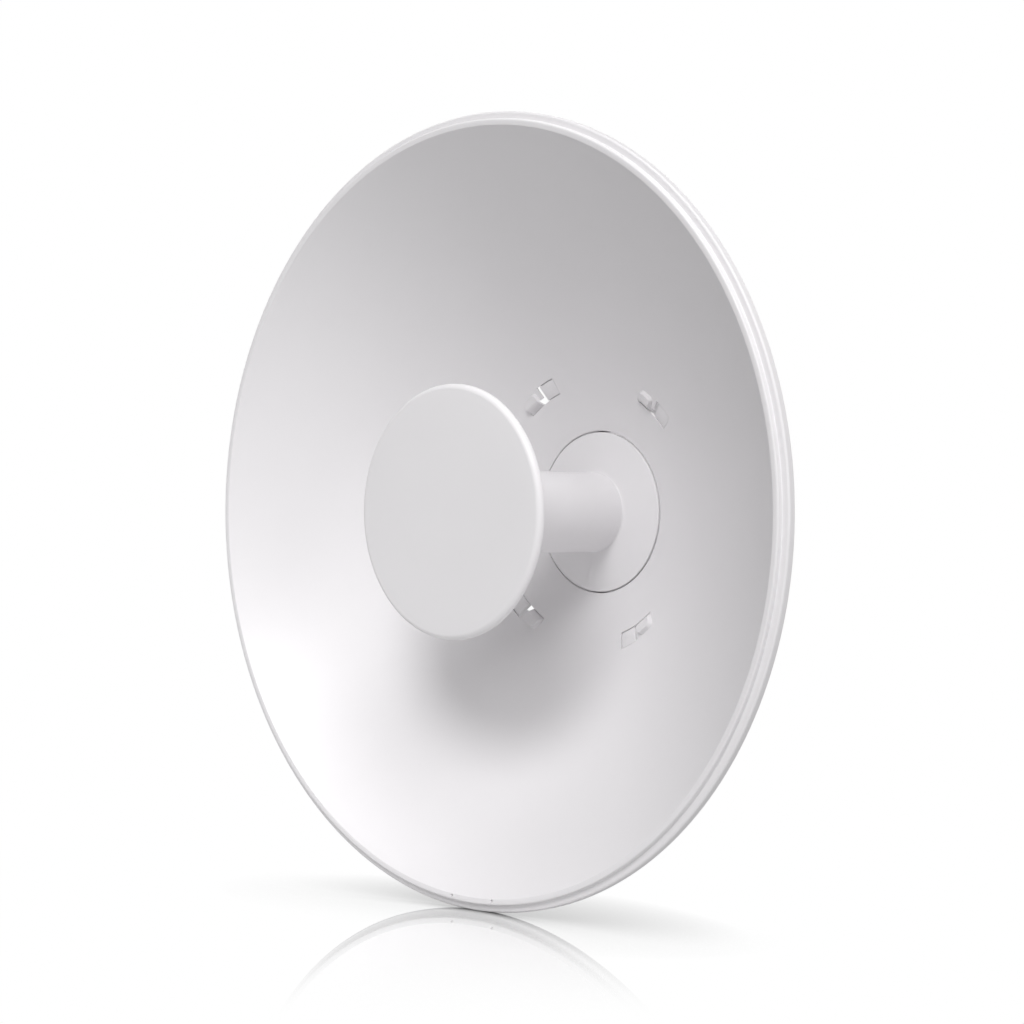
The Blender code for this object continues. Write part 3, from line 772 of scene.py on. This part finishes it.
# %% Floor
FLOOR_Z = -0.210
floor_bm = bmesh.new()
bmesh.ops.create_grid(floor_bm, x_segments=4, y_segments=4, size=30.0)
bmesh.ops.translate(floor_bm, vec=(0.0, 0.0, FLOOR_Z), verts=floor_bm.verts[:])
floor_mesh = bpy.data.meshes.new("floor")
floor_bm.to_mesh(floor_mesh)
floor_bm.free()
floor = bpy.data.objects.new("floor", floor_mesh)
bpy.context.scene.collection.objects.link(floor)

# %% [markdown]
# A studio floor this white gives off about as much light as the backdrop, so its matt part is an
# Emission, darkened by ambient occlusion close to the rim for the soft shadow at the foot. Seen
# directly it is white, but the light that it throws up into the bowl is about half of that, as
# from a table that is lit less than the background.

# %% Floor finish
FLOOR_GLOW = 0.52
SHADOW_REACH = 0.072
SHADOW_DEPTH = 1.2
MIRROR_START, MIRROR_END = 0.02, 0.29
MIRROR_RADII = (0.36, 0.50)
MIRROR_STRENGTH = 0.5

floor_white = bpy.data.materials.new("floor_white")
floor_white.use_nodes = True
nodes, links = floor_white.node_tree.nodes, floor_white.node_tree.links
nodes.remove(nodes["Principled BSDF"])
shade = nodes.new("ShaderNodeAmbientOcclusion")
shade.samples = 6
shade.inputs["Distance"].default_value = SHADOW_REACH
deepen = nodes.new("ShaderNodeMath")
deepen.operation = "POWER"
deepen.inputs[1].default_value = SHADOW_DEPTH
links.new(shade.outputs["AO"], deepen.inputs[0])
seen = nodes.new("ShaderNodeLightPath")
level = nodes.new("ShaderNodeMapRange")
level.inputs["To Min"].default_value = FLOOR_GLOW
level.inputs["To Max"].default_value = 1.0
links.new(seen.outputs["Is Camera Ray"], level.inputs["Value"])
glow = nodes.new("ShaderNodeEmission")
links.new(deepen.outputs["Value"], glow.inputs["Color"])
links.new(level.outputs["Result"], glow.inputs["Strength"])

where = nodes.new("ShaderNodeTexCoord")
forward = nodes.new("ShaderNodeVectorMath")
forward.operation = "DOT_PRODUCT"
forward.inputs[1].default_value = (math.sin(math.radians(CAMERA_TURN)), -math.cos(math.radians(CAMERA_TURN)), 0.0)
links.new(where.outputs["Object"], forward.inputs[0])
foot_line = MAST_FACE_Y * MM * math.cos(math.radians(CAMERA_TURN))
fade = nodes.new("ShaderNodeMapRange")
fade.interpolation_type = "SMOOTHSTEP"
fade.inputs["From Min"].default_value = foot_line + MIRROR_START
fade.inputs["From Max"].default_value = foot_line + MIRROR_END
fade.inputs["To Min"].default_value = MIRROR_STRENGTH
fade.inputs["To Max"].default_value = 0.0
links.new(forward.outputs["Value"], fade.inputs["Value"])
mirror = nodes.new("ShaderNodeBsdfGlossy")
mirror.inputs["Color"].default_value = (1.0, 1.0, 1.0, 1.0)
mirror.inputs["Roughness"].default_value = 0.0
from_foot = nodes.new("ShaderNodeVectorMath")
from_foot.operation = "DISTANCE"
from_foot.inputs[1].default_value = (0.0, -MAST_FACE_Y * MM, FLOOR_Z)
links.new(where.outputs["Object"], from_foot.inputs[0])
patch = nodes.new("ShaderNodeMapRange")
patch.interpolation_type = "SMOOTHSTEP"
patch.inputs["From Min"].default_value, patch.inputs["From Max"].default_value = MIRROR_RADII
patch.inputs["To Min"].default_value = 1.0
patch.inputs["To Max"].default_value = 0.0
links.new(from_foot.outputs["Value"], patch.inputs["Value"])
share = nodes.new("ShaderNodeMath")
share.operation = "MULTIPLY"
links.new(fade.outputs["Result"], share.inputs[0])
links.new(patch.outputs["Result"], share.inputs[1])
blend = nodes.new("ShaderNodeMixShader")
links.new(share.outputs["Value"], blend.inputs["Fac"])
links.new(glow.outputs["Emission"], blend.inputs[1])
links.new(mirror.outputs["BSDF"], blend.inputs[2])
links.new(blend.outputs["Shader"], nodes["Material Output"].inputs["Surface"])
floor_mesh.materials.append(floor_white)
print("floor at", FLOOR_Z)

# %% [markdown]
# ## Light
#
# A white product on white needs soft light with a clear direction. The strengths come from
# rendering the bowl under one lamp at a time and adding the pictures up until the shading matched
# the photograph. A broad key stands above and to the right of the dish's front, a second softbox
# further round, a low one at the side, and a wide one overhead. Sun lamps with a wide angle act as
# softboxes far away, so the light is even over the whole floor.

# The backdrop is white for the camera and in the floor's mirror. For the light that reaches the
# dish it is dim, except for a white panel behind.

# %% Background
WORLD_GLOW = 0.25
world = bpy.data.worlds.new("studio")
world.use_nodes = True
bpy.context.scene.world = world
nodes, links = world.node_tree.nodes, world.node_tree.links
backdrop = nodes["Background"]
backdrop.inputs["Color"].default_value = (1.0, 1.0, 1.0, 1.0)
seen = nodes.new("ShaderNodeLightPath")
direction = nodes.new("ShaderNodeTexCoord")
rear = nodes.new("ShaderNodeVectorMath")
rear.operation = "DOT_PRODUCT"
rear.inputs[1].default_value = (-math.sin(math.radians(CAMERA_TURN)), math.cos(math.radians(CAMERA_TURN)), 0.0)
links.new(direction.outputs["Generated"], rear.inputs[0])
panel = nodes.new("ShaderNodeMapRange")
panel.interpolation_type = "SMOOTHSTEP"
panel.inputs["From Min"].default_value = 0.75
panel.inputs["From Max"].default_value = 0.9
panel.inputs["To Min"].default_value = WORLD_GLOW
panel.inputs["To Max"].default_value = 1.0
links.new(rear.outputs["Value"], panel.inputs["Value"])
brighter = nodes.new("ShaderNodeMath")
brighter.operation = "MAXIMUM"
links.new(panel.outputs["Result"], brighter.inputs[0])
links.new(seen.outputs["Is Camera Ray"], brighter.inputs[1])
mirrored = nodes.new("ShaderNodeMath")
mirrored.operation = "MAXIMUM"
links.new(brighter.outputs["Value"], mirrored.inputs[0])
links.new(seen.outputs["Is Singular Ray"], mirrored.inputs[1])
links.new(mirrored.outputs["Value"], backdrop.inputs["Strength"])

# %% Softboxes
SOFTBOXES = {
    "key": (30.0, 38.0, 24.0, 1.41),
    "second": (60.0, 46.0, 24.0, 0.70),
    "side": (80.0, 15.0, 24.0, 0.33),
    "front": (15.0, 15.0, 24.0, 0.17),
    "overhead": (0.0, 88.0, 40.0, 0.87),
}


def soft_light(name, azimuth, elevation, spread_angle, strength):
    """A far softbox; its azimuth turns from the dish's front to its right."""
    turn, rise = math.radians(azimuth), math.radians(elevation)
    data = bpy.data.lights.new(name, "SUN")
    data.angle = math.radians(spread_angle)
    data.energy = strength
    light = bpy.data.objects.new(name, data)
    towards = Vector((math.sin(turn) * math.cos(rise), -math.cos(turn) * math.cos(rise), math.sin(rise)))
    light.rotation_euler = towards.to_track_quat("Z", "Y").to_euler()
    bpy.context.scene.collection.objects.link(light)


for name, numbers in SOFTBOXES.items():
    soft_light(name, *numbers)
    print(name, "softbox", numbers)
bpy.context.scene.view_settings.view_transform = "Standard"
bpy.context.scene.view_settings.look = "None"
